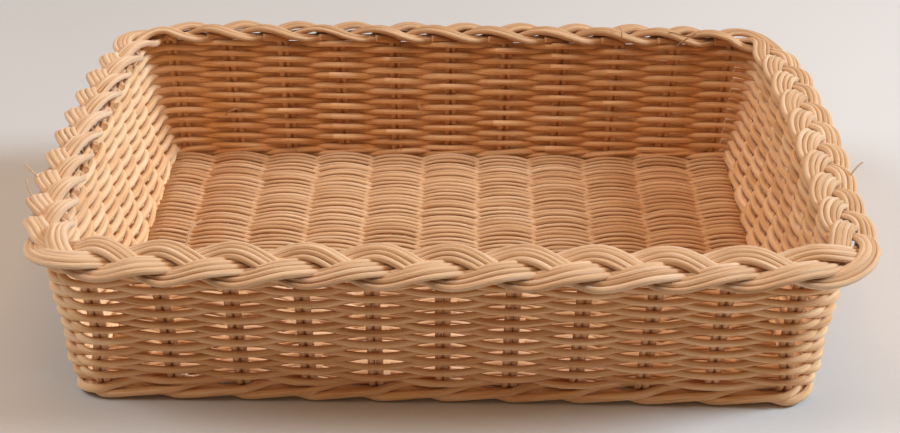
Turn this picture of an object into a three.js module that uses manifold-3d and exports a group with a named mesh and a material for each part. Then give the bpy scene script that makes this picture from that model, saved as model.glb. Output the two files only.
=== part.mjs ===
// Casserole carrier basket: an oblong tray of natural reed with splayed walls.
// Millimetres, +Z up, +X along the length, +Y to the back, origin under the middle of the base.

import * as THREE from 'three';
import { mergeVertices } from 'three/addons/utils/BufferGeometryUtils.js';
import Module from 'manifold-3d';

// Plan of the stake line, the line that the upright rods stand on
const BASE_LENGTH = 350;
const BASE_DEPTH = 250;
const BASE_CORNER_R = 10;
const RIM_CORNER_R = 18;

// The walls lean out by the flares; the end walls also bulge, most of all at a knee
const END_FLARE = 14.5;
const SIDE_FLARE = 4.5;
const END_BULGE = 3.5;
const KNEE_HEIGHT = 0.42;

// Rods
const STAKE_D = 3.0;
const WEAVER_D = 2.9;
const BASE_REED_D = 2.6;

// How many upright rod pairs and how many rows
const LONG_STAKES = 11;
const SIDE_STAKES = 10;
const WALE_ROWS = 2;
const PLAIN_ROWS = 20;

// How the rows sit
const SEAT_GAP = 0.3;
const ROW_GAP = 0.2;
const ROW_TILT_DEG = 25;
const LEG_LENGTH = 16;

// How the base reeds arch over a stake pair, and how deep the groove between its two rods is
const CROWN_ROOM = 0.5;
const VALLEY_SHARE = 0.6;
const PAIR_GROOVE = 0.55;

// Places between the two stakes of a corner, and the share of the crossing that is done there
const CORNER_BENDS = [[0.3, 0.125], [0.7, 0.875]];

// Plaited border: three strands, each a flat bundle of rods
const STRAND_WIDTH = 8.6;
const STRAND_THICKNESS = 3.6;
const STRAND_FLAT = 0.54;
const PLAIT_REACH = 6.7;
const PLAIT_TILT_DEG = 13;
const PLAIT_START = -0.28;
const CORNER_STEP = 0.3;

const WEAVER_COLOUR = 0xc89a63;
const STAKE_COLOUR = 0xb98a55;
const BASE_COLOUR = 0xcfa572;
const PLAIT_COLOUR = 0xd2a873;

const STAKE_COUNT = 2 * (LONG_STAKES + SIDE_STAKES);
const ROW_TILT = THREE.MathUtils.degToRad(ROW_TILT_DEG);
const PLAIT_TILT = THREE.MathUtils.degToRad(PLAIT_TILT_DEG);
const SIN60 = Math.sqrt(3) / 2;

// Levels of the base: reeds below the stakes, the stakes, reeds above them
const UNDER_LAYER = Math.max(BASE_REED_D, STAKE_D) + SEAT_GAP;
const STAKE_LEVEL = UNDER_LAYER + STAKE_D / 2;
const LEG_LEVEL = STAKE_D / 2;
const BASE_TOP = STAKE_LEVEL + STAKE_D / 2 + SEAT_GAP + BASE_REED_D;

// A weaver's four-sided section, turned by the tilt: how far its corners stand out from its middle
const FAR_CORNER = WEAVER_D / 2 * (Math.cos(ROW_TILT) + Math.sin(ROW_TILT));
const NEAR_CORNER = WEAVER_D / 2 * (Math.cos(ROW_TILT) - Math.sin(ROW_TILT));

// Sideways throw of a weaver from the stake line, enough to clear both rods of a pair
const LONG_PITCH = (BASE_LENGTH - 2 * BASE_CORNER_R) / (LONG_STAKES - 1);
const SIDE_PITCH = (BASE_DEPTH - 2 * BASE_CORNER_R) / (SIDE_STAKES - 1);
const CLOSE_PITCH = Math.min(LONG_PITCH, SIDE_PITCH);
const THROW = (STAKE_D / 2 + FAR_CORNER + SEAT_GAP) / (1 - STAKE_D / CLOSE_PITCH);

// Heights of the rows: the weave slants, so that each row hangs lower outside than inside
const ROWS = WALE_ROWS + PLAIN_ROWS;
const ROW_DROP = 2 * THROW * Math.tan(ROW_TILT);
const ROW_RISE = (WEAVER_D + ROW_GAP) / Math.cos(ROW_TILT);
const SLOPE_ROOM = STAKE_D / 2 * ROW_DROP / CLOSE_PITCH;
const FIRST_INSIDE = STAKE_LEVEL + STAKE_D / 2 + SEAT_GAP + FAR_CORNER + SLOPE_ROOM;
const FIRST_ROW = FIRST_INSIDE - ROW_DROP / 2;
const TOP_ROW = FIRST_ROW + (ROWS - 1) * ROW_RISE;

// Swing and lift of a strand: where two strands cross they clear each other by the gap
const PLAIT_SWING = STRAND_WIDTH + 2 * SEAT_GAP;
const CROSSING = STRAND_FLAT * STRAND_WIDTH / (2 * SIN60 * PLAIT_SWING);
const PLAIT_LIFT = (STRAND_THICKNESS + SEAT_GAP) / (2 * SIN60 * (1 - CROSSING));

// The plait lies on the inner and outer bends of the top row and on the ends of the stakes
const PLAIT_HALF = PLAIT_LIFT * SIN60 + STRAND_THICKNESS / 2;

function plaitDepth(out) {
  return SEAT_GAP + PLAIT_HALF * Math.cos(PLAIT_TILT) - (PLAIT_REACH - out) * Math.sin(PLAIT_TILT);
}

const PLAIT_LEVEL = Math.max(
  TOP_ROW + ROW_DROP / 2 + NEAR_CORNER + plaitDepth(FAR_CORNER - THROW),
  TOP_ROW - ROW_DROP / 2 + FAR_CORNER + plaitDepth(THROW - NEAR_CORNER),
);
const STAKE_TOP = PLAIT_LEVEL - plaitDepth(STAKE_D / 2);

// Stake line at a height, as half length, half depth, corner radius and bulge of the ends
const KNEE_LEVEL = THREE.MathUtils.lerp(STAKE_LEVEL, STAKE_TOP, KNEE_HEIGHT);

function lineAt(z) {
  const part = (z - STAKE_LEVEL) / (STAKE_TOP - STAKE_LEVEL);
  return {
    a: BASE_LENGTH / 2 + END_FLARE * part,
    b: BASE_DEPTH / 2 + SIDE_FLARE * part,
    r: THREE.MathUtils.lerp(BASE_CORNER_R, RIM_CORNER_R, part),
    bulge: END_BULGE * Math.min(part / KNEE_HEIGHT, (1 - part) / (1 - KNEE_HEIGHT)),
  };
}

// Place along the stake line counted in stakes: whole numbers are stakes, starting at the front left,
// going round to the right; one step between the last stake of a side and the first of the next is a corner
const SIDE_STARTS = [0, LONG_STAKES, LONG_STAKES + SIDE_STAKES, 2 * LONG_STAKES + SIDE_STAKES];

function sideOf(u) {
  let side = 3;
  while (u < SIDE_STARTS[side]) {
    side -= 1;
  }
  return side;
}

function isCorner(u) {
  const place = ((u % STAKE_COUNT) + STAKE_COUNT) % STAKE_COUNT;
  const side = sideOf(place);
  const steps = (side % 2 === 0 ? LONG_STAKES : SIDE_STAKES) - 1;
  return place - SIDE_STARTS[side] > steps - 1e-9;
}

function stakeLine(u, z, out) {
  const place = ((u % STAKE_COUNT) + STAKE_COUNT) % STAKE_COUNT;
  const side = sideOf(place);
  const along = side % 2 === 0;
  const { a, b, r, bulge } = lineAt(z);
  const steps = (along ? LONG_STAKES : SIDE_STAKES) - 1;
  const half = (along ? a : b) - r;
  const reach = (along ? b : a) - r;
  const local = place - SIDE_STARTS[side];
  const turn = Math.max(0, local - steps) * Math.PI / 2;
  const forwardR = r + out + (along ? bulge : 0);
  const outwardR = r + out + (along ? 0 : bulge);
  const forward = Math.min(local / steps, 1) * 2 * half - half + forwardR * Math.sin(turn);
  const outward = reach + outwardR * Math.cos(turn);
  const angle = side * Math.PI / 2;
  const x = forward * Math.cos(angle) + outward * Math.sin(angle);
  const y = forward * Math.sin(angle) - outward * Math.cos(angle);
  const normal = new THREE.Vector3(Math.sin(angle + turn), -Math.cos(angle + turn), 0);
  return { point: new THREE.Vector3(x, y, z), normal };
}

// A closed body through a row of matching outlines; an open row is capped at both ends
function sweep(outlines, closed) {
  const size = outlines[0].length;
  const positions = [];
  outlines.forEach((outline) => outline.forEach((p) => positions.push(p.x, p.y, p.z)));
  const index = [];
  const spans = closed ? outlines.length : outlines.length - 1;
  for (let i = 0; i < spans; i += 1) {
    const here = i * size;
    const next = ((i + 1) % outlines.length) * size;
    for (let k = 0; k < size; k += 1) {
      const other = (k + 1) % size;
      index.push(here + k, next + k, next + other);
      index.push(here + k, next + other, here + other);
    }
  }
  if (!closed) {
    const last = (outlines.length - 1) * size;
    capFaces(outlines[0]).forEach(([p, q, s]) => {
      index.push(p, q, s);
      index.push(last + p, last + s, last + q);
    });
  }
  const geometry = new THREE.BufferGeometry();
  geometry.setAttribute('position', new THREE.Float32BufferAttribute(positions, 3));
  geometry.setIndex(index);
  return outward(geometry);
}

// Triangles that close one end, wound so that they match the side faces
function capFaces(outline) {
  const middle = new THREE.Vector3();
  outline.forEach((p) => middle.add(p));
  middle.divideScalar(outline.length);
  const first = outline[0].clone().sub(middle).normalize();
  const across = new THREE.Vector3();
  outline.forEach((p, i) => {
    const q = outline[(i + 1) % outline.length];
    across.add(new THREE.Vector3().crossVectors(p.clone().sub(middle), q.clone().sub(middle)));
  });
  const second = across.normalize().cross(first);
  const flat = outline.map((p) => {
    const arm = p.clone().sub(middle);
    return new THREE.Vector2(arm.dot(first), arm.dot(second));
  });
  return THREE.ShapeUtils.triangulateShape(flat, []);
}

function outward(geometry) {
  const at = geometry.attributes.position;
  const index = geometry.index.array;
  const [p, q, s] = [new THREE.Vector3(), new THREE.Vector3(), new THREE.Vector3()];
  let volume = 0;
  for (let i = 0; i < index.length; i += 3) {
    p.fromBufferAttribute(at, index[i]);
    q.fromBufferAttribute(at, index[i + 1]);
    s.fromBufferAttribute(at, index[i + 2]);
    volume += p.dot(q.cross(s));
  }
  if (volume < 0) {
    for (let i = 0; i < index.length; i += 3) {
      [index[i], index[i + 1]] = [index[i + 1], index[i]];
    }
  }
  geometry.computeVertexNormals();
  return geometry;
}

// Solids that are cut
const wasm = await Module();
wasm.setup();

function toSolid(geometry) {
  const bare = new THREE.BufferGeometry();
  bare.setAttribute('position', geometry.attributes.position);
  bare.setIndex(geometry.index);
  const merged = mergeVertices(bare, 1e-4);
  return new wasm.Manifold(new wasm.Mesh({
    numProp: 3,
    vertProperties: new Float32Array(merged.attributes.position.array),
    triVerts: new Uint32Array(merged.index.array),
  }));
}

function fromSolid(solid) {
  const mesh = solid.getMesh();
  const geometry = new THREE.BufferGeometry();
  geometry.setAttribute('position', new THREE.Float32BufferAttribute(mesh.vertProperties, 3));
  geometry.setIndex(Array.from(mesh.triVerts));
  geometry.computeVertexNormals();
  return geometry;
}

const group = new THREE.Group();
group.name = 'casserole_carrier_basket';

function addMesh(name, geometry, colour) {
  const material = new THREE.MeshStandardMaterial({ color: colour, roughness: 0.7 });
  const mesh = new THREE.Mesh(geometry, material);
  mesh.name = name;
  group.add(mesh);
}

// Outline of two rods side by side: wide along one axis, one rod thick along the other
function rodPair(centre, wide, thick) {
  const r = STAKE_D / 2;
  const waist = 1 - PAIR_GROOVE;
  const shape = [[-2, 0], [-1, -1], [0, -waist], [1, -1], [2, 0], [1, 1], [0, waist], [-1, 1]];
  return shape.map(([w, t]) => centre.clone().addScaledVector(wide, w * r).addScaledVector(thick, t * r));
}

// Thickness axis at a bend: half way between the two straight parts, longer so that they keep their size
function bendAxis(before, after) {
  const sum = before.clone().add(after).normalize();
  return sum.divideScalar(sum.dot(before));
}

function wallAxis(foot, top, side) {
  const run = top.clone().sub(foot);
  run.addScaledVector(side, -run.dot(side)).normalize();
  return run.cross(side).normalize();
}

// Base: reeds packed side by side, crowned over and under each stake pair, one matted piece
function baseWeave() {
  const { a, r } = lineAt(STAKE_LEVEL);
  const half = a - r;
  const flat = STAKE_D + SEAT_GAP + CROWN_ROOM;
  const crown = STAKE_LEVEL;
  const valley = BASE_REED_D * VALLEY_SHARE;
  const nose = half + STAKE_D + SEAT_GAP + BASE_REED_D;
  const upper = [];
  for (let i = 0; i < LONG_STAKES; i += 1) {
    const x = -half + LONG_PITCH * i;
    upper.push([x - flat, crown], [x + flat, crown]);
    if (i < LONG_STAKES - 1) {
      upper.push([x + LONG_PITCH / 2, valley]);
    }
  }
  const outline = [[-nose, -crown / 2], [-nose, crown / 2], ...upper, [nose, crown / 2], [nose, -crown / 2]];
  upper.slice().reverse().forEach(([x, z]) => outline.push([x, -z]));
  const shape = new THREE.Shape(outline.map(([x, z]) => new THREE.Vector2(x, heightOf(z))));
  const depth = BASE_DEPTH - 2 * (THROW + FAR_CORNER + SEAT_GAP);
  const body = new THREE.ExtrudeGeometry(shape, { depth, bevelEnabled: false, steps: 1 });
  body.rotateX(Math.PI / 2);
  body.translate(0, depth / 2, 0);
  let solid = toSolid(body);
  const cut = (width, length, height, x, y, z) => {
    const box = new THREE.BoxGeometry(width, length, height);
    box.translate(x, y, z);
    solid = solid.subtract(toSolid(box));
  };
  const room = 2 * (STAKE_D + SEAT_GAP);
  for (let i = 0; i < LONG_STAKES; i += 1) {
    cut(room, depth + 2, STAKE_D + 2 * SEAT_GAP, -half + LONG_PITCH * i, 0, STAKE_LEVEL);
  }
  sideStakePlaces().forEach((u) => {
    const foot = stakeLine(u, LEG_LEVEL, 0).point;
    cut(2 * (LEG_LENGTH + SEAT_GAP), room, room, foot.x, foot.y, 0);
  });
  return fromSolid(solid);
}

// Half thickness of the base outline to a height: the lower half ends flat on the table
function heightOf(z) {
  const room = z > 0 ? BASE_TOP - STAKE_LEVEL : STAKE_LEVEL;
  return STAKE_LEVEL + z / STAKE_LEVEL * room;
}

function sideStakePlaces() {
  const places = [];
  for (let i = 0; i < SIDE_STAKES; i += 1) {
    places.push(SIDE_STARTS[1] + i);
  }
  for (let i = 0; i < SIDE_STAKES; i += 1) {
    places.push(SIDE_STARTS[3] + i);
  }
  return places;
}

// Wall part of a stake through some levels, from its top to its foot, where it bends into the level part
function uprightPairs(u, levels, wide) {
  const points = levels.map((z) => stakeLine(u, z, 0).point);
  const { normal } = stakeLine(u, STAKE_TOP, 0);
  const axes = points.slice(1).map((point, k) => {
    const axis = wallAxis(point, points[k], wide);
    return axis.multiplyScalar(-Math.sign(axis.dot(normal)));
  });
  axes.push(new THREE.Vector3(0, 0, 1));
  return points.map((point, k) => rodPair(point, wide, k === 0 ? axes[0] : bendAxis(axes[k - 1], axes[k])));
}

// Long stake: one pair of rods up the front, under the base and up the back
function longStake(i) {
  const back = SIDE_STARTS[2] + LONG_STAKES - 1 - i;
  const wide = new THREE.Vector3(1, 0, 0);
  const front = uprightPairs(i, [STAKE_TOP, STAKE_LEVEL], wide);
  const rear = uprightPairs(back, [STAKE_TOP, STAKE_LEVEL], wide).reverse();
  return sweep([...front, ...rear], false);
}

// Side stake: a pair of rods with a leg pushed in under the end of the base
function sideStake(u) {
  const foot = stakeLine(u, LEG_LEVEL, 0).point;
  const inward = -Math.sign(foot.x);
  const leg = new THREE.Vector3(foot.x + inward * LEG_LENGTH, foot.y, LEG_LEVEL);
  const wide = new THREE.Vector3(0, inward, 0);
  const up = new THREE.Vector3(0, 0, 1);
  const wall = uprightPairs(u, [STAKE_TOP, KNEE_LEVEL, LEG_LEVEL], wide);
  return sweep([...wall, rodPair(leg, wide, up)], false);
}

// One row of weaver: a closed ring that passes outside or inside each stake in turn
function weaverRow(row, sideAt) {
  const height = FIRST_ROW + row * ROW_RISE;
  const corners = [
    [FAR_CORNER, NEAR_CORNER],
    [-NEAR_CORNER, FAR_CORNER],
    [-FAR_CORNER, -NEAR_CORNER],
    [NEAR_CORNER, -FAR_CORNER],
  ];
  const outlines = [];
  const place = (u, swing) => {
    const { point, normal } = stakeLine(u, height - swing * ROW_DROP / 2, swing * THROW);
    outlines.push(corners.map(([out, rise]) => {
      const corner = point.clone().addScaledVector(normal, out);
      corner.z += rise;
      return corner;
    }));
  };
  for (let i = 0; i < STAKE_COUNT; i += 1) {
    const here = sideAt(i);
    const next = sideAt((i + 1) % STAKE_COUNT);
    place(i, here);
    if (isCorner(i + 0.5)) {
      CORNER_BENDS.forEach(([part, done]) => place(i + part, THREE.MathUtils.lerp(here, next, done)));
    }
  }
  return sweep(outlines, true);
}

// One strand of the plait: three stakes long from lobe to lobe, crossing over and under the other two
const STRAND_STEPS = [30, 60, 120, 150, 210, 240, 300, 330];

function strandPlaces(shift) {
  const places = [];
  const turns = Math.round(STAKE_COUNT / 3);
  for (let turn = 0; turn < turns; turn += 1) {
    STRAND_STEPS.forEach((step) => {
      const angle = THREE.MathUtils.degToRad(step);
      const swing = PLAIT_SWING * Math.sin(angle);
      const lift = -PLAIT_LIFT * Math.sin(2 * angle);
      const u = (turn * 3 + step / 120 + shift) * STAKE_COUNT / (3 * turns) + PLAIT_START;
      places.push({ u, swing, lift });
    });
  }
  return places;
}

function plaitStrand(shift) {
  const places = strandPlaces(shift);
  const outlines = [];
  const lateral = Math.cos(PLAIT_TILT);
  const dip = Math.sin(PLAIT_TILT);
  const flat = STRAND_FLAT / 2;
  const section = [[0.5, 0], [flat, 0.5], [-flat, 0.5], [-0.5, 0], [0, -0.5]];
  const put = (u, swing, lift) => {
    const { point, normal } = stakeLine(u, STAKE_TOP, PLAIT_REACH);
    point.z = PLAIT_LEVEL;
    outlines.push(section.map(([w, t]) => {
      const v = swing + w * STRAND_WIDTH;
      const h = lift + t * STRAND_THICKNESS;
      const p = point.clone().addScaledVector(normal, v * lateral + h * dip);
      p.z += h * lateral - v * dip;
      return p;
    }));
  };
  places.forEach((here, i) => {
    const next = places[(i + 1) % places.length];
    const span = next.u > here.u ? next.u - here.u : next.u + STAKE_COUNT - here.u;
    const bends = isCorner(here.u + span * 0.1) || isCorner(here.u + span * 0.9);
    const parts = bends ? Math.ceil(span / CORNER_STEP) : 1;
    for (let k = 0; k < parts; k += 1) {
      const f = k / parts;
      const swing = THREE.MathUtils.lerp(here.swing, next.swing, f);
      put(here.u + span * f, swing, THREE.MathUtils.lerp(here.lift, next.lift, f));
    }
  });
  return sweep(outlines, true);
}

function numbered(stem, i) {
  return `${stem}_${String(i).padStart(2, '0')}`;
}

addMesh('base_weave', baseWeave(), BASE_COLOUR);
for (let i = 0; i < LONG_STAKES; i += 1) {
  addMesh(numbered('long_stake', i + 1), longStake(i), STAKE_COLOUR);
}
sideStakePlaces().forEach((u, i) => {
  const stem = i < SIDE_STAKES ? 'right_stake' : 'left_stake';
  addMesh(numbered(stem, i % SIDE_STAKES + 1), sideStake(u), STAKE_COLOUR);
});
for (let row = 0; row < WALE_ROWS; row += 1) {
  addMesh(numbered('foot_wale', row + 1), weaverRow(row, (i) => ((i + row) % 3 === 0 ? -1 : 1)), WEAVER_COLOUR);
}
for (let row = 0; row < PLAIN_ROWS; row += 1) {
  const plain = (i) => ((i + row) % 2 === 0 ? 1 : -1);
  addMesh(numbered('weaver_row', row + 1), weaverRow(WALE_ROWS + row, plain), WEAVER_COLOUR);
}
for (let strand = 0; strand < 3; strand += 1) {
  addMesh(numbered('plait_strand', strand + 1), plaitStrand(strand), PLAIT_COLOUR);
}

export default group;
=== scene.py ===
import math
import random

import bpy
from mathutils import Matrix, Vector


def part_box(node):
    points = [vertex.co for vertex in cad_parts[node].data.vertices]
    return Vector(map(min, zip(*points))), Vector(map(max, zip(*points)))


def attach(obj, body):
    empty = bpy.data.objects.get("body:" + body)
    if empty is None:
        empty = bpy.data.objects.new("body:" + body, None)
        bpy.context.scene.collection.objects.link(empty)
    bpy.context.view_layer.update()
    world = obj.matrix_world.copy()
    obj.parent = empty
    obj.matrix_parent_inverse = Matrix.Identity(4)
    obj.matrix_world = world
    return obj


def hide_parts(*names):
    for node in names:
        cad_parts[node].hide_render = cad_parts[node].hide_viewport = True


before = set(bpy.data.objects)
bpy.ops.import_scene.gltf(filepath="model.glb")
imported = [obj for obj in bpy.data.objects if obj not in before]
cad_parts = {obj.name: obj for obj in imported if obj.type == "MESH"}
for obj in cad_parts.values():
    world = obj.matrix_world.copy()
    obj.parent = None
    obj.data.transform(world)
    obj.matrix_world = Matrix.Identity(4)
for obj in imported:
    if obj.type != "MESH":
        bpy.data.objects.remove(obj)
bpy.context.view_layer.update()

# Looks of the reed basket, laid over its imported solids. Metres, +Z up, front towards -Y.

MM = 0.001

# Plan of the stake line, the line that the upright rods stand on
BASE_LENGTH = 350 * MM
BASE_DEPTH = 250 * MM
END_FLARE = 14.5 * MM
SIDE_FLARE = 4.5 * MM
END_BULGE = 3.5 * MM
BASE_CORNER_R = 10 * MM
RIM_CORNER_R = 18 * MM
LONG_STAKES = 11
SIDE_STAKES = 10
STAKES = 2 * (LONG_STAKES + SIDE_STAKES)
SIDE_STARTS = (0, LONG_STAKES, LONG_STAKES + SIDE_STAKES, 2 * LONG_STAKES + SIDE_STAKES)
LONG_PITCH = (BASE_LENGTH - 2 * BASE_CORNER_R) / (LONG_STAKES - 1)

# Rods
STAKE_D = 3.9 * MM
STAKE_APART = 3.9 * MM
WEAVER_D = 3.5 * MM
WALE_D = 4.3 * MM
BASE_REED_D = 2.8 * MM
PLAIT_ROD_D = 3.25 * MM
SOLID_STAKE_D = 3.0 * MM

# Walls: a throw is how far a weaver swings off the stake line, a drop how much lower it runs outside
PLAIN_ROWS = 20
THROW = 2.9 * MM
END_THROW = 2.9 * MM
END_GIRTH = 1.28
FRONT_DROP = -0.3 * MM
BACK_DROP = 2.8 * MM
FRONT_RUN = 40 * MM
CROSSING = 0.85
ROW_STEPS = 10
TUCK = 0.75
TUCK_RUN = 0.6
ROW_STOUT = (0.95, 1.05)
JOIN_BEFORE = 0.3
JOIN_AFTER = 0.2
FOOT_BEND = 7 * MM
LEG_REACH = 8 * MM
LEG_CLEAR = 0.1 * MM

# Wale at the foot: three rods laid like a rope, in behind every third stake
WALE_RODS = 3
WALE_START = 27
WALE_LEVEL = 6.2 * MM
WALE_DROP = 4.4 * MM
WALE_LIFT = 1.8 * MM
WALE_PROUD = 1.2 * MM
WALE_CORE = 4.0 * MM
WALE_STEEPNESS = 1.25
WALE_OUTWARD = 0.3

# Base: reeds packed across the stakes
BASE_PITCH = 2.15 * MM
BASE_STEPS = 9
BASE_THROW = 2.9 * MM
BASE_LIFT = 0.25 * MM
BASE_ASTRAY = 0.4 * MM
BASE_STOUT = (0.78, 1.2)
BASE_LENGTHS = (5, 9)
BASE_TURN = ((0.2, 2.0, 0.8), (0.5, 2.9, 0.0), (0.8, 2.0, -0.8))

# Plaited border
PLAIT_REACH = 6.7 * MM
PLAIT_TILT = math.radians(13)
PLAIT_SWING = 8.0 * MM
PLAIT_LIFT = 3.1 * MM
PLAIT_WARP = 0.15
PLAIT_SHIFT = 0.35
PLAIT_STEPS = 14
PLAIT_START = 27.0
PLAIT_RODS = (-1.5, -0.5, 0.5, 1.5)
PLAIT_SPACING = 2.95 * MM
PLAIT_CROWN = 0.35 * MM
PLAIT_SWELL = 0.14
PLAIT_SWELLS = 5
PLAIT_RIPPLE = 0.08
PLAIT_RIPPLES = 13
CORNER_MIDDLES = (
    LONG_STAKES - 0.5,
    LONG_STAKES + SIDE_STAKES - 0.5,
    2 * LONG_STAKES + SIDE_STAKES - 0.5,
    STAKES - 0.5,
)
CORNER_WAYS = ((1, -1), (1, 1), (-1, 1), (-1, -1))
CORNER_EASES = (6.0 * MM, 5.5 * MM, 5.5 * MM, 6.0 * MM)
CORNER_RUN = 2.2
CORNER_GATHER = 0.16
END_BOW = 3.0 * MM
FRONT_RIGHT_REACH = Vector((7.2, 0, 1.5)) * MM

# The two front corners stand fuller at the foot
FOOT_FULL = 5.0 * MM
FOOT_FULL_TOP = 38 * MM
FOOT_FULL_RUN = 25 * MM


def middle(node):
    low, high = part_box(node)
    return (low + high) / 2


# Levels taken from the solids
STAKE_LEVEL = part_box("long_stake_06")[0].z + SOLID_STAKE_D / 2
STAKE_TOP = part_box("long_stake_06")[1].z
PLAIT_LEVEL = middle("plait_strand_01").z


def mix(a, b, f):
    return a + (b - a) * f


def ease(f):
    return (1 - math.cos(math.pi * f)) / 2


def corner_share(place, corner):
    """1 in the middle of a corner, 0 out on the straight runs."""
    away = abs((place - corner + STAKES / 2) % STAKES - STAKES / 2)
    return ease(max(0.0, 1 - away / CORNER_RUN))


def stake_line(u, z, out=0.0):
    """Point of the wall at a place counted in stakes from the front left, and the way out there."""
    place = u % STAKES
    side = max(i for i in range(4) if place >= SIDE_STARTS[i])
    along = side % 2 == 0
    lean = (z - STAKE_LEVEL) / (STAKE_TOP - STAKE_LEVEL)
    a = BASE_LENGTH / 2 + END_FLARE * lean
    b = BASE_DEPTH / 2 + SIDE_FLARE * lean
    r = mix(BASE_CORNER_R, RIM_CORNER_R, lean)
    bulge = 4 * END_BULGE * lean * (1 - lean)
    steps = (LONG_STAKES if along else SIDE_STAKES) - 1
    half = (a if along else b) - r
    reach = (b if along else a) - r
    local = place - SIDE_STARTS[side]
    turn = max(0.0, local - steps) * math.pi / 2
    forward_r = r + out + (bulge if along else 0)
    outward_r = r + out + (0 if along else bulge)
    forward = (min(local / steps, 1) * 2 - 1) * half + forward_r * math.sin(turn)
    outward = reach + outward_r * math.cos(turn)
    angle = side * math.pi / 2
    x = forward * math.cos(angle) + outward * math.sin(angle)
    y = forward * math.sin(angle) - outward * math.cos(angle)
    full = FOOT_FULL * ease(min(1.0, max(0.0, (FOOT_FULL_TOP - z) / FOOT_FULL_RUN)))
    x += full * (corner_share(place, CORNER_MIDDLES[0]) - corner_share(place, CORNER_MIDDLES[3]))
    return Vector((x, y, z)), Vector((math.sin(angle + turn), -math.cos(angle + turn), 0))


# Node trees


class Value:
    """One output socket of a tree; sums written on it add Math nodes there."""

    def __init__(self, tree, socket):
        self.tree = tree
        self.socket = socket

    def maths(self, operation, *terms):
        return self.tree.node("ShaderNodeMath", {"operation": operation}, dict(enumerate(terms)))[0]

    def __add__(self, other):
        return self.maths("ADD", self, other)

    def __radd__(self, other):
        return self.maths("ADD", other, self)

    def __sub__(self, other):
        return self.maths("SUBTRACT", self, other)

    def __rsub__(self, other):
        return self.maths("SUBTRACT", other, self)

    def __mul__(self, other):
        return self.maths("MULTIPLY", self, other)

    def __rmul__(self, other):
        return self.maths("MULTIPLY", other, self)


class Made:
    """A node's outputs, by name or number."""

    def __init__(self, tree, made):
        self.tree = tree
        self.made = made

    def __getitem__(self, key):
        return Value(self.tree, self.made.outputs[key])


class Tree:
    """A node tree that is written node by node."""

    def __init__(self, nodes):
        self.nodes = nodes
        self.nodes.nodes.clear()

    def node(self, kind, settings=None, inputs=None):
        made = self.nodes.nodes.new(kind)
        for name, value in (settings or {}).items():
            if name == "stops":
                self.set_stops(made.color_ramp.elements, value)
            else:
                setattr(made, name, value)
        for key, value in (inputs or {}).items():
            if isinstance(value, Value):
                self.nodes.links.new(value.socket, made.inputs[key])
            else:
                made.inputs[key].default_value = value
        return Made(self, made)

    def set_stops(self, elements, stops):
        while len(elements) < len(stops):
            elements.new(1.0)
        for element, (place, colour) in zip(elements, stops):
            element.position = place
            element.color = (*colour, 1)

    def stretch(self, vector, by):
        return self.node("ShaderNodeVectorMath", {"operation": "MULTIPLY"}, {0: vector, 1: by})[0]

    def noise(self, vector, detail=2.0, w=None):
        inputs = {"Vector": vector, "Scale": 1.0, "Detail": detail}
        if w is not None:
            inputs["W"] = w
        return self.node("ShaderNodeTexNoise", {"noise_dimensions": "3D" if w is None else "4D"}, inputs)

    def spread(self, value, low, high):
        """A value between two limits, as 0 to 1."""
        return self.node("ShaderNodeMapRange", None, {"Value": value, "From Min": low, "From Max": high})[0]


# Materials

FIBRE_STRETCH = (38, 2.6, 2.6)
THREAD_STRETCH = (90, 7.0, 7.0)
SHADE_STRETCH = (20, 0.5, 0.5)
FIBRE_SPREAD = (0.32, 0.68)
THREAD_SPREAD = (0.36, 0.62)
SHADE_SPREAD = (0.3, 0.7)
PALE_AT, HONEY_AT, BROWN_AT = 0.14, 0.5, 0.88
# Spans in X and Y over which the reeds' painted light and shade ramps in, at the left end and at the back
PAINTED_LIGHT_LEFT_SPAN = (-150 * MM, -185 * MM)
PAINTED_LIGHT_SHADE_BACK_SPAN = (95 * MM, 135 * MM)


def reed_material(name, pale, honey, brown, roughness, left=0.0, back=0.0):
    """Natural reed: fibres along each rod, a slow change of shade, and a tone for each rod; left and back
    add painted light and shade, paler towards the left end for left below 0, and towards the back paler for
    back below 0 and darker for back above 0.
    """
    material = bpy.data.materials.new(name)
    material.use_nodes = True
    tree = Tree(material.node_tree)
    grain = tree.node("ShaderNodeAttribute", {"attribute_name": "grain"})["Vector"]
    tone = tree.node("ShaderNodeAttribute", {"attribute_name": "tone"})["Fac"]
    fibres = tree.spread(tree.noise(tree.stretch(grain, FIBRE_STRETCH), 3.0)["Fac"], *FIBRE_SPREAD)
    threads = tree.spread(tree.noise(tree.stretch(grain, THREAD_STRETCH), 2.0)["Fac"], *THREAD_SPREAD)
    shade = tree.spread(tree.noise(tree.stretch(grain, SHADE_STRETCH), 1.0)["Fac"], *SHADE_SPREAD)
    axes = tree.node("ShaderNodeSeparateXYZ", None, {0: tree.node("ShaderNodeTexCoord")["Object"]})
    # Painted light and shade: the colour moves paler towards the left end, and paler or darker towards the
    # back by the sign of back, standing in for how the lamps light those sides
    sides = tree.spread(axes["X"], *PAINTED_LIGHT_LEFT_SPAN) * left + tree.spread(axes["Y"], *PAINTED_LIGHT_SHADE_BACK_SPAN) * back
    depth = tone * 0.3 + shade * 0.36 + fibres * 0.3 + (1 - threads) * 0.2 + sides - 0.06
    colour = tree.node(
        "ShaderNodeValToRGB",
        {"stops": [(PALE_AT, pale), (HONEY_AT, honey), (BROWN_AT, brown)]},
        {"Fac": depth},
    )["Color"]
    height = fibres * 0.55 + threads * 0.45
    bump = tree.node(
        "ShaderNodeBump",
        None,
        {"Height": height, "Strength": 0.6, "Distance": 0.35 * MM},
    )["Normal"]
    shader = tree.node(
        "ShaderNodeBsdfPrincipled",
        None,
        {
            "Base Color": colour,
            "Roughness": roughness + fibres * 0.18,
            "Normal": bump,
            "Specular IOR Level": 0.35,
            "Sheen Weight": 0.18,
            "Sheen Roughness": 0.5,
        },
    )["BSDF"]
    tree.node("ShaderNodeOutputMaterial", None, {"Surface": shader})
    return material


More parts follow.
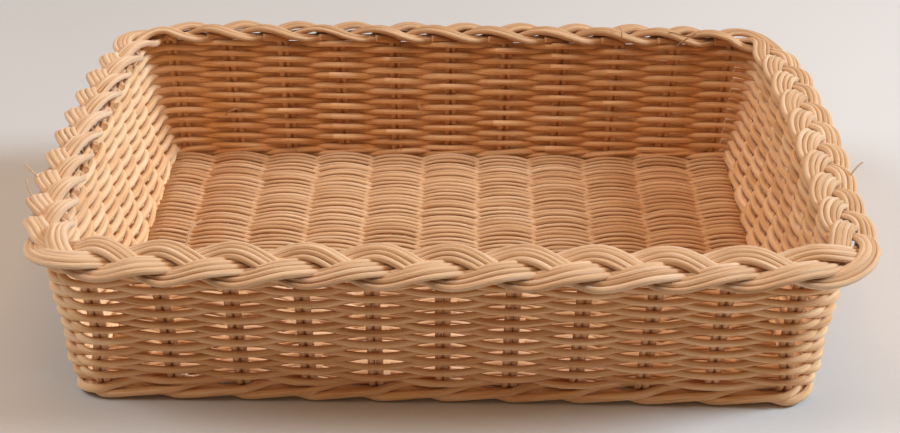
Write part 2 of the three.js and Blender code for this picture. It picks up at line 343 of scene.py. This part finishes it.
MATERIALS = {
    "base_reed": reed_material(
        "base_reed",
        pale=(0.79, 0.54, 0.34),
        honey=(0.69, 0.42, 0.22),
        brown=(0.53, 0.28, 0.12),
        roughness=0.58,
    ),
    "stake_reed": reed_material(
        "stake_reed",
        pale=(0.88, 0.58, 0.34),
        honey=(0.74, 0.42, 0.2),
        brown=(0.48, 0.23, 0.09),
        roughness=0.6,
        # Painted light: the stakes at the left end are painted paler
        left=-0.2,
    ),
    "weaver_reed": reed_material(
        "weaver_reed",
        pale=(0.96, 0.66, 0.39),
        honey=(0.84, 0.485, 0.228),
        brown=(0.56, 0.265, 0.095),
        roughness=0.6,
        # Painted light: the weavers at the left end and at the back are painted paler
        left=-0.22,
        back=-0.1,
    ),
    "plait_reed": reed_material(
        "plait_reed",
        pale=(0.79, 0.565, 0.375),
        honey=(0.69, 0.44, 0.245),
        brown=(0.52, 0.295, 0.14),
        roughness=0.58,
        # Painted light on the left border, which is painted paler; painted shade on the back border, which
        # is painted darker
        left=-0.22,
        back=0.34,
    ),
}


# Reed along a path: the tree that gives every rod its body


def reed_tree():
    group = bpy.data.node_groups.new("reed along a path", "GeometryNodeTree")
    face = group.interface
    face.new_socket("Geometry", in_out="OUTPUT", socket_type="NodeSocketGeometry")
    face.new_socket("Geometry", in_out="INPUT", socket_type="NodeSocketGeometry")
    for name, kind in (
        ("Diameter", "Float"),
        ("Sides", "Int"),
        ("Wander", "Float"),
        ("Wander Scale", "Float"),
        ("Apart", "Float"),
        ("Unevenness", "Float"),
        ("Seed", "Int"),
        ("Material", "Material"),
    ):
        face.new_socket(name, in_out="INPUT", socket_type="NodeSocket" + kind)
    tree = Tree(group)
    given = tree.node("NodeGroupInput")

    def named(name, kind):
        return tree.node("GeometryNodeInputNamedAttribute", {"data_type": kind}, {"Name": name})[0]

    def store(geometry, name, kind, value):
        return tree.node(
            "GeometryNodeStoreNamedAttribute",
            {"data_type": kind, "domain": "POINT"},
            {"Geometry": geometry, "Name": name, "Value": value},
        )[0]

    place = tree.node("GeometryNodeInputPosition")[0]
    rod = named("rod", "INT")
    apart = given["Seed"] + rod * given["Apart"]
    line = tree.node("GeometryNodeMeshToCurve", None, {"Mesh": given["Geometry"]})[0]
    field = tree.node(
        "ShaderNodeVectorMath", {"operation": "SCALE"}, {0: place, "Scale": given["Wander Scale"]}
    )[0]
    wander = tree.node(
        "ShaderNodeVectorMath",
        {"operation": "SUBTRACT"},
        {0: tree.noise(field, 1.0, apart)["Color"], 1: (0.5, 0.5, 0.5)},
    )[0]
    moved = tree.node(
        "ShaderNodeVectorMath", {"operation": "SCALE"}, {0: wander, "Scale": given["Wander"] * 2.0}
    )[0]
    line = tree.node("GeometryNodeSetPosition", None, {"Geometry": line, "Offset": moved})[0]
    along = tree.node("GeometryNodeSplineParameter")["Length"]
    line = store(line, "along", "FLOAT", along)
    swell = tree.noise(tree.stretch(place, (90, 90, 90)), 1.0, rod * 3.7 + given["Seed"])["Fac"]
    girth = named("girth", "FLOAT") * (1 + (swell - 0.5) * given["Unevenness"] * 2.0)
    ring = tree.node(
        "GeometryNodeCurvePrimitiveCircle", {"mode": "RADIUS"}, {"Resolution": given["Sides"], "Radius": 1.0}
    )["Curve"]
    ring = store(ring, "round", "FLOAT_VECTOR", place)
    body = tree.node(
        "GeometryNodeCurveToMesh",
        None,
        {"Curve": line, "Profile Curve": ring, "Scale": girth * given["Diameter"] * 0.5, "Fill Caps": True},
    )["Mesh"]
    tone = tree.node(
        "FunctionNodeRandomValue", {"data_type": "FLOAT"}, {2: 0.0, 3: 1.0, "ID": rod, "Seed": given["Seed"]}
    )[1]
    apart_axes = tree.node("ShaderNodeSeparateXYZ", None, {0: named("round", "FLOAT_VECTOR")})
    grain = tree.node(
        "ShaderNodeCombineXYZ",
        None,
        {0: named("along", "FLOAT") + rod * 1.37, 1: apart_axes[0] + rod * 0.61, 2: apart_axes[1]},
    )[0]
    body = store(body, "grain", "FLOAT_VECTOR", grain)
    body = store(body, "tone", "FLOAT", tone)
    corners = tree.node("GeometryNodeInputMeshFaceNeighbors")["Vertex Count"]
    is_side = tree.node(
        "FunctionNodeCompare", {"data_type": "INT", "operation": "EQUAL"}, {2: corners, 3: 4}
    )[0]
    body = tree.node("GeometryNodeSetShadeSmooth", None, {"Geometry": body, "Shade Smooth": is_side})[0]
    body = tree.node("GeometryNodeRealizeInstances", None, {0: body})[0]
    body = tree.node("GeometryNodeSetMaterial", None, {"Geometry": body, "Material": given["Material"]})[0]
    tree.node("NodeGroupOutput", None, {0: body})
    return group


REED = reed_tree()


class Rods:
    """Centre lines of a piece's rods, as edges that carry each rod's number and girth."""

    def __init__(self, first_rod=0):
        self.points = []
        self.edges = []
        self.rod = []
        self.girth = []
        self.next_rod = first_rod

    def add(self, line, closed=False, girth=1.0, numbers=None):
        """One rod; its girth and number may also be given point by point."""
        start = len(self.points)
        self.points.extend(line)
        self.edges.extend((start + i, start + i + 1) for i in range(len(line) - 1))
        if closed:
            self.edges.append((start + len(line) - 1, start))
        self.rod.extend(numbers or [self.next_rod] * len(line))
        self.girth.extend(girth if isinstance(girth, list) else [girth] * len(line))
        self.next_rod += 1


def reed_piece(
    name, rods, slot, diameter, seed, sides=10, wander=0.35, wander_scale=28, apart=0.0, unevenness=0.1
):
    """A piece made of rods; wander is in millimetres, apart says how far neighbours wander on their own."""
    mesh = bpy.data.meshes.new(name + "_lines")
    mesh.from_pydata([tuple(p) for p in rods.points], rods.edges, [])
    mesh.attributes.new("rod", "INT", "POINT").data.foreach_set("value", rods.rod)
    mesh.attributes.new("girth", "FLOAT", "POINT").data.foreach_set("value", rods.girth)
    piece = bpy.data.objects.new(name, mesh)
    bpy.context.scene.collection.objects.link(piece)
    modifier = piece.modifiers.new("reed", "NODES")
    modifier.node_group = REED
    settings = {
        "Diameter": float(diameter),
        "Sides": sides,
        "Wander": wander * MM,
        "Wander Scale": float(wander_scale),
        "Apart": float(apart),
        "Unevenness": float(unevenness),
        "Seed": seed,
        "Material": MATERIALS[slot],
    }
    for item in REED.interface.items_tree:
        if item.name in settings:
            modifier[item.identifier] = settings[item.name]
    depsgraph = bpy.context.evaluated_depsgraph_get()
    body = bpy.data.meshes.new_from_object(piece.evaluated_get(depsgraph))
    piece.modifiers.clear()
    piece.data = body
    body.name = name
    bpy.data.meshes.remove(mesh)
    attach(piece, "root")
    return piece


def numbered(stem, i):
    return f"{stem}_{i:02d}"


# Each rod's number sets its tone and its wander

FIRST_WALE_ROD = 120
FIRST_LONG_ROD = 200
FIRST_SIDE_ROD = 260
FIRST_BASE_ROD = 400
FIRST_PLAIT_ROD = 600
FIRST_FIBRE = 700


# Walls


def weaver_line(level, side_at, first, last):
    """A weaver outside or inside each stake in turn, from one stake to another: its line and girths."""
    line = []
    girths = []
    for k in range(round((last - first) * ROW_STEPS) + 1):
        u = first + k / ROW_STEPS
        i = math.floor(u)
        turned = min(1.0, max(0.0, (u - i - 0.5) / CROSSING + 0.5))
        swing = mix(side_at(i), side_at(i + 1), ease(turned))
        swing -= TUCK * ease(max(0.0, 1 - (last - u) / TUCK_RUN))
        point, out = stake_line(u, level)
        point += out * swing * mix(THROW, END_THROW, out.x**2)
        behind = min(1.0, max(0.0, (point.y + BASE_DEPTH / 2) / FRONT_RUN))
        point.z -= swing * mix(FRONT_DROP, BACK_DROP, ease(behind)) / 2
        line.append(point)
        girths.append(mix(1.0, END_GIRTH, out.x**2))
    return line, girths


def wall_row(node, number, side_at):
    """One row, pieced from two lengths that begin and end inside, behind a stake."""
    level = middle(node).z
    chance = random.Random(100 + number)
    joins = [
        chance.choice([i for i in range(start + 2, start + LONG_STAKES - 2) if side_at(i) < 0])
        for start in (SIDE_STARTS[0], SIDE_STARTS[2])
    ]
    rods = Rods(first_rod=number * 5)
    for here, there in zip(joins, [joins[1], joins[0] + STAKES]):
        line, girths = weaver_line(level, side_at, here - JOIN_BEFORE, there + JOIN_AFTER)
        stout = chance.uniform(*ROW_STOUT)
        rods.add(line, girth=[g * stout for g in girths])
    piece = reed_piece(node + "_reed", rods, "weaver_reed", WEAVER_D, seed=7)
    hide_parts(node)


def wale_line(rod):
    """One rod of the wale: it rises on the outside past two stakes and falls behind the third."""
    line = []
    for k in range(STAKES * ROW_STEPS):
        u = rod + WALE_START + k / ROW_STEPS
        phase = 2 * math.pi * (u - rod) / WALE_RODS + math.pi
        swing = max(-1.0, min(1.0, math.cos(phase) * WALE_STEEPNESS + WALE_OUTWARD))
        z = WALE_LEVEL - swing * WALE_DROP / 2 + WALE_LIFT * math.sin(phase)
        line.append(stake_line(u, z, swing * THROW + max(0.0, swing) * WALE_PROUD)[0])
    return line


def foot_wale():
    node = "foot_wale_01"
    rods = Rods(first_rod=FIRST_WALE_ROD)
    for rod in range(WALE_RODS):
        rods.add(wale_line(rod), closed=True)
    core = [stake_line(WALE_START + k / ROW_STEPS, WALE_CORE)[0] for k in range(STAKES * ROW_STEPS)]
    rods.add(core, closed=True)
    piece = reed_piece(node + "_reed", rods, "weaver_reed", WALE_D, apart=1.0, wander=0.3, seed=11)
    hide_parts(node)


# Stakes

STAKE_STEPS = 14
TURN_STEPS = 10
BEND_STEPS = 6
UNDER_STEPS = 12
RUN_OVER = 1.85
RUN_RISE = 2.0 * MM
RUN_OUT = 1.5 * MM
STUB_OVER = 0.33
STUB_RISE = 3.4 * MM
STUB_IN = 2.6 * MM


def bend(before, corner, after, count):
    """Points of a round bend between two points, pulled towards a corner."""
    line = []
    for k in range(1, count):
        f = k / count
        line.append(before * (1 - f) ** 2 + corner * 2 * f * (1 - f) + after * f * f)
    return line


def upright(u, shift, foot):
    """Wall part of a stake, from above its foot to the turn-over under the border."""
    line = []
    for k in range(STAKE_STEPS + 1):
        z = mix(foot, STAKE_TOP, k / STAKE_STEPS)
        point, out = stake_line(u, z)
        line.append(point + Vector((-out.y, out.x, 0)) * shift)
    for k in range(1, TURN_STEPS + 1):
        f = k / TURN_STEPS
        if shift > 0:
            over = RUN_OVER * f**1.5
            rise = RUN_RISE * math.sin(min(1.0, 2 * f) * math.pi / 2)
            reach = RUN_OUT * f
        else:
            over = STUB_OVER * f
            rise = STUB_RISE * math.sin(f * math.pi / 2)
            reach = -STUB_IN * f * f
        point, out = stake_line(u + over, STAKE_TOP, reach)
        point.z += rise
        line.append(point + Vector((-out.y, out.x, 0)) * shift * (1 - f))
    return line


def long_stake(i):
    node = numbered("long_stake", i + 1)
    back = SIDE_STARTS[2] + LONG_STAKES - 1 - i
    rods = Rods(first_rod=FIRST_LONG_ROD + 2 * i)
    for shift in (-STAKE_APART / 2, STAKE_APART / 2):
        front = upright(i, shift, STAKE_LEVEL + FOOT_BEND)
        rear = upright(back, -shift, STAKE_LEVEL + FOOT_BEND)
        corners = []
        for u, push in ((i, shift), (back, -shift)):
            point, out = stake_line(u, STAKE_LEVEL)
            corners.append(point + Vector((-out.y, out.x, 0)) * push)
        inner = [corners[0] + Vector((0, FOOT_BEND, 0)), corners[1] - Vector((0, FOOT_BEND, 0))]
        line = list(reversed(front))
        line += bend(front[0], corners[0], inner[0], BEND_STEPS)
        line += [inner[0].lerp(inner[1], k / UNDER_STEPS) for k in range(UNDER_STEPS + 1)]
        line += bend(inner[1], corners[1], rear[0], BEND_STEPS)
        line += rear
        rods.add(line)
    piece = reed_piece(node + "_reed", rods, "stake_reed", STAKE_D, seed=7, wander=0.2)
    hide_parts(node)


def side_stake(stem, start, i):
    node = numbered(stem, i + 1)
    u = start + i
    level = STAKE_D / 2 + LEG_CLEAR
    rods = Rods(first_rod=FIRST_SIDE_ROD + 2 * u)
    for shift in (-STAKE_APART / 2, STAKE_APART / 2):
        wall = upright(u, shift, level + FOOT_BEND)
        corner, out = stake_line(u, level)
        corner = corner + Vector((-out.y, out.x, 0)) * shift
        leg = corner - out * FOOT_BEND
        end = corner - out * (FOOT_BEND + LEG_REACH)
        rods.add([end, leg] + bend(leg, corner, wall[0], BEND_STEPS) + wall)
    piece = reed_piece(node + "_reed", rods, "stake_reed", STAKE_D, seed=7, wander=0.2)
    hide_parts(node)


# Base


def base_weave():
    node = "base_weave"
    chance = random.Random(31)
    half = BASE_LENGTH / 2 - BASE_CORNER_R
    depth = BASE_DEPTH - 2 * (THROW + WEAVER_D / 2) - BASE_REED_D
    count = round(depth / BASE_PITCH)
    pitch = depth / count
    last = LONG_STAKES - 1
    astray = [chance.uniform(-BASE_ASTRAY, BASE_ASTRAY) for row in range(count + 1)]
    stout = [chance.uniform(*BASE_STOUT) for row in range(count + 1)]

    def at(row, column):
        wave = math.cos(math.pi * column) * (1 if row % 2 == 0 else -1)
        lift = BASE_THROW * wave * (1.2 - 0.2 * wave * wave)
        y = -depth / 2 + pitch * row + astray[row]
        return Vector((-half + LONG_PITCH * column, y, STAKE_LEVEL + BASE_LIFT + lift))

    def turn(row, sign):
        """The reed goes round the end stake from one row to the next."""
        x = sign * (half + STAKE_D)
        top = 1 if (row + (last if sign > 0 else 0)) % 2 == 0 else -1
        points = []
        for f, reach, lift in BASE_TURN:
            y = -depth / 2 + pitch * (row + f)
            points.append(Vector((x + sign * reach * MM, y, STAKE_LEVEL + top * lift * BASE_THROW)))
        return points

    line = []
    lines = []
    until = chance.randint(*BASE_LENGTHS)
    for row in range(count + 1):
        forward = row % 2 == 0
        columns = [k / BASE_STEPS for k in range(last * BASE_STEPS + 1)]
        if not forward:
            columns.reverse()
        cut = None
        if row == until:
            cut = 2 * chance.randrange(1, last // 2) + (row + 1) % 2
            until += chance.randint(*BASE_LENGTHS)
        for column in columns:
            if cut is not None and abs(column - cut) < 0.5 / BASE_STEPS:
                lines.append(line)
                line = []
                continue
            line.append((at(row, column), row))
        if row < count:
            line += [(point, row) for point in turn(row, 1 if forward else -1)]
    lines.append(line)
    rods = Rods()
    for line in lines:
        rods.add(
            [point for point, row in line],
            girth=[stout[row] for point, row in line],
            numbers=[FIRST_BASE_ROD + row for point, row in line],
        )
    piece = reed_piece(
        node + "_reed",
        rods,
        "base_reed",
        BASE_REED_D,
        sides=8,
        wander=1.2,
        wander_scale=32,
        apart=0.1,
        unevenness=0.16,
        seed=5,
    )
    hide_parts(node)


# Border


def rim_ease(place):
    """How far the rim strays from the wall's plan: rounder corners, bowed ends, one corner reaching out."""
    moved = Vector((0, 0, 0))
    for corner, pull, (x, y) in zip(CORNER_MIDDLES, CORNER_EASES, CORNER_WAYS):
        moved -= Vector((x, y, 0)).normalized() * pull * corner_share(place, corner)
    for corner, x in ((CORNER_MIDDLES[0], 1), (CORNER_MIDDLES[2], -1)):
        along = (place - corner) % STAKES / SIDE_STAKES
        if along < 1:
            moved.x += x * END_BOW * math.sin(math.pi * along) ** 2
    moved += FRONT_RIGHT_REACH * corner_share(place, CORNER_MIDDLES[0])
    return moved


def plait_place(u, strand, across):
    """A point of a strand: across is how far from the strand's middle, square to its run."""

    def swing_at(w):
        phase = 2 * math.pi / 3 * (w - strand + PLAIT_SHIFT)
        return PLAIT_SWING * math.sin(phase + PLAIT_WARP * math.cos(phase))

    across *= 1 - CORNER_GATHER * max(corner_share(u, corner) for corner in CORNER_MIDDLES)
    small, wide = 0.02, 0.7
    here, out = stake_line(u - wide, STAKE_TOP, PLAIT_REACH)
    there, out = stake_line(u + wide, STAKE_TOP, PLAIT_REACH)
    pitch = (there - here).length / (2 * wide)
    slope = math.atan2((swing_at(u + small) - swing_at(u - small)) / (2 * small), pitch)
    phase = 2 * math.pi / 3 * (u - strand + PLAIT_SHIFT)
    lift = -PLAIT_LIFT * math.sin(2 * phase) - PLAIT_CROWN * (across / PLAIT_SPACING) ** 2
    swing = swing_at(u) + across * math.cos(slope)
    place = (u - across * math.sin(slope) / pitch) % STAKES
    point, out = stake_line(place, STAKE_TOP, PLAIT_REACH)
    point += rim_ease(place)
    point.z = PLAIT_LEVEL
    point += out * (swing * math.cos(PLAIT_TILT) + lift * math.sin(PLAIT_TILT))
    point.z += lift * math.cos(PLAIT_TILT) - swing * math.sin(PLAIT_TILT)
    return point


def plait_strand(strand):
    node = numbered("plait_strand", strand + 1)
    rods = Rods(first_rod=FIRST_PLAIT_ROD + 10 * strand)
    chance = random.Random(60 + strand)
    places = [strand + PLAIT_START + i / PLAIT_STEPS for i in range(STAKES * PLAIT_STEPS)]
    for k in PLAIT_RODS:
        line = [plait_place(u, strand, k * PLAIT_SPACING) for u in places]
        slow, quick = chance.random(), chance.random()
        girths = []
        for u in places:
            turn = 2 * math.pi * u / STAKES
            swell = PLAIT_SWELL * math.sin(PLAIT_SWELLS * (turn + 6 * slow))
            ripple = PLAIT_RIPPLE * math.sin(PLAIT_RIPPLES * (turn + 6 * quick))
            girths.append(1 + swell + ripple)
        rods.add(line, closed=True, girth=girths)
    piece = reed_piece(
        node + "_reed",
        rods,
        "plait_reed",
        PLAIT_ROD_D,
        seed=3,
        sides=12,
        wander=0.42,
        wander_scale=34,
        apart=1.0,
    )
    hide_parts(node)


# Loose fibres that stand off the rods, in millimetres

FIBRE_D = 0.9 * MM
FIBRE_STEPS = 8
LOOSE_FIBRES = (
    ((132, 126, 90), (137, 118, 94), (142, 117, 88), (147, 118, 93)),
    ((136, 126, 80), (138, 119, 86), (143, 120, 89)),
    ((102, 127, 93), (103, 118, 95), (103, 120, 88)),
    ((-141, 124, 30), (-139, 117, 39), (-130, 124, 37)),
    ((-21, 124, 43), (-16, 116, 39), (-20, 124, 31)),
    ((-40, 126, 70), (-32, 118, 76), (-25, 126, 70)),
    ((-122, -127, 87), (-121, -121, 96), (-116, -113, 94)),
    ((-206, -58, 83), (-212, -57, 90), (-215, -54, 91)),
    ((-204, -79, 83), (-210, -76, 89), (-210, -72, 93)),
    ((207, -47, 84), (211, -45, 91), (215, -41, 91)),
)


def curl(points):
    """A smooth line drawn by the given points."""
    line = []
    for k in range(FIBRE_STEPS + 1):
        f = k / FIBRE_STEPS
        level = [Vector(p) * MM for p in points]
        while len(level) > 1:
            level = [a.lerp(b, f) for a, b in zip(level, level[1:])]
        line.append(level[0])
    return line


def loose_fibres():
    rods = Rods(first_rod=FIRST_FIBRE)
    for points in LOOSE_FIBRES:
        rods.add(curl(points))
    reed_piece("loose_fibres", rods, "plait_reed", FIBRE_D, sides=5, wander=0.2, apart=1.0, seed=9)


base_weave()
for i in range(LONG_STAKES):
    long_stake(i)
for stem, start in (("right_stake", SIDE_STARTS[1]), ("left_stake", SIDE_STARTS[3])):
    for i in range(SIDE_STAKES):
        side_stake(stem, start, i)
foot_wale()
wall_row("foot_wale_02", PLAIN_ROWS, lambda i: 1 if i % 2 == 1 else -1)
for row in range(PLAIN_ROWS):
    wall_row(numbered("weaver_row", row + 1), row, lambda i: 1 if (i + row) % 2 == 0 else -1)
for strand in range(3):
    plait_strand(strand)
loose_fibres()


# Floor, light and camera

FLOOR_HALF = 4.0
# Floor colours at the two ends of its painted light and shade
FLOOR_IN_PAINTED_SHADE = (0.34, 0.339, 0.338, 1)
FLOOR_IN_PAINTED_LIGHT = (0.68, 0.678, 0.675, 1)
FLOOR_PAINTED_FALLOFF_SPAN = (-0.4, 0.2)
AIM = (0, 0, 0.03)


def floor():
    """A pale floor with painted light and shade: painted darker to the left and to the back, and paler to
    the right, standing in for the lamps' falloff.
    """
    mesh = bpy.data.meshes.new("floor")
    corners = [(x * FLOOR_HALF, y * FLOOR_HALF, 0) for x, y in ((-1, -1), (1, -1), (1, 1), (-1, 1))]
    mesh.from_pydata(corners, [], [(0, 1, 2, 3)])
    piece = bpy.data.objects.new("floor", mesh)
    bpy.context.scene.collection.objects.link(piece)
    material = bpy.data.materials.new("pale_floor")
    material.use_nodes = True
    tree = Tree(material.node_tree)
    place = tree.node("ShaderNodeTexCoord")["Object"]
    cloud = tree.noise(tree.stretch(place, (6, 6, 6)), 2.0)["Fac"]
    axes = tree.node("ShaderNodeSeparateXYZ", None, {0: place})
    right = axes["X"].maths("MAXIMUM", axes["X"], 0.0)
    # Painted light and shade: the floor colour runs darker to the left and to the back and paler to the
    # right, with a faint mottle
    painted_falloff_and_mottle = axes["X"] * 0.19 + right * 0.3 - axes["Y"] * 0.1 + (cloud - 0.5) * 0.06
    colour = tree.node(
        "ShaderNodeMix",
        {"data_type": "RGBA"},
        {0: tree.spread(painted_falloff_and_mottle, *FLOOR_PAINTED_FALLOFF_SPAN), 6: FLOOR_IN_PAINTED_SHADE, 7: FLOOR_IN_PAINTED_LIGHT},
    )[2]
    shader = tree.node("ShaderNodeBsdfPrincipled", None, {"Base Color": colour, "Roughness": 0.8})["BSDF"]
    tree.node("ShaderNodeOutputMaterial", None, {"Surface": shader})
    mesh.materials.append(material)


def lamp(name, place, size, power, colour, spread=180):
    light = bpy.data.lights.new(name, "AREA")
    light.shape = "DISK"
    light.size = size
    light.energy = power
    light.spread = math.radians(spread)
    light.color = colour
    lamp_object = bpy.data.objects.new(name, light)
    lamp_object.location = place
    lamp_object.rotation_mode = "QUATERNION"
    lamp_object.rotation_quaternion = (Vector(AIM) - Vector(place)).to_track_quat("-Z", "Y")
    bpy.context.scene.collection.objects.link(lamp_object)


def studio():
    lamp("key", (2.95, 0.35, 1.95), size=1.4, power=18.5, colour=(0.68, 0.86, 1.0), spread=60)
    lamp("left", (-2.0, 0.0, 2.0), size=1.4, power=36, colour=(0.8, 0.92, 1.0))
    lamp("top", (0.0, 0.0, 2.4), size=2.0, power=25, colour=(1.0, 0.55, 0.22))
    world = bpy.data.worlds.new("studio")
    world.use_nodes = True
    tree = Tree(world.node_tree)
    sky = tree.node("ShaderNodeBackground", None, {"Color": (1.0, 0.65, 0.42, 1), "Strength": 0.24})[0]
    tree.node("ShaderNodeOutputWorld", None, {"Surface": sky})
    bpy.context.scene.world = world


IMAGE_WIDTH = 900
FOCAL_PIXELS = 1631
CAMERA_PLACE = Vector((11.9, -787.0, 487.0)) * MM
CAMERA_PITCH = math.radians(30.02)
CAMERA_YAW = math.radians(-0.75)
CAMERA_ROLL = math.radians(0.28)


def camera():
    data = bpy.data.cameras.new("camera")
    data.sensor_width = 36
    data.lens = FOCAL_PIXELS / IMAGE_WIDTH * data.sensor_width
    eye = bpy.data.objects.new("camera", data)
    bpy.context.scene.collection.objects.link(eye)
    forward = Vector(
        (
            math.sin(CAMERA_YAW) * math.cos(CAMERA_PITCH),
            math.cos(CAMERA_YAW) * math.cos(CAMERA_PITCH),
            -math.sin(CAMERA_PITCH),
        )
    )
    right = Vector((math.cos(CAMERA_YAW), -math.sin(CAMERA_YAW), 0))
    up = right.cross(forward)
    across = right * math.cos(CAMERA_ROLL) + up * math.sin(CAMERA_ROLL)
    upward = up * math.cos(CAMERA_ROLL) - right * math.sin(CAMERA_ROLL)
    turned = Matrix((across, upward, -forward)).transposed().to_4x4()
    eye.matrix_world = Matrix.Translation(CAMERA_PLACE) @ turned
    bpy.context.scene.camera = eye


floor()
studio()
camera()
bpy.context.scene.view_settings.view_transform = "Standard"
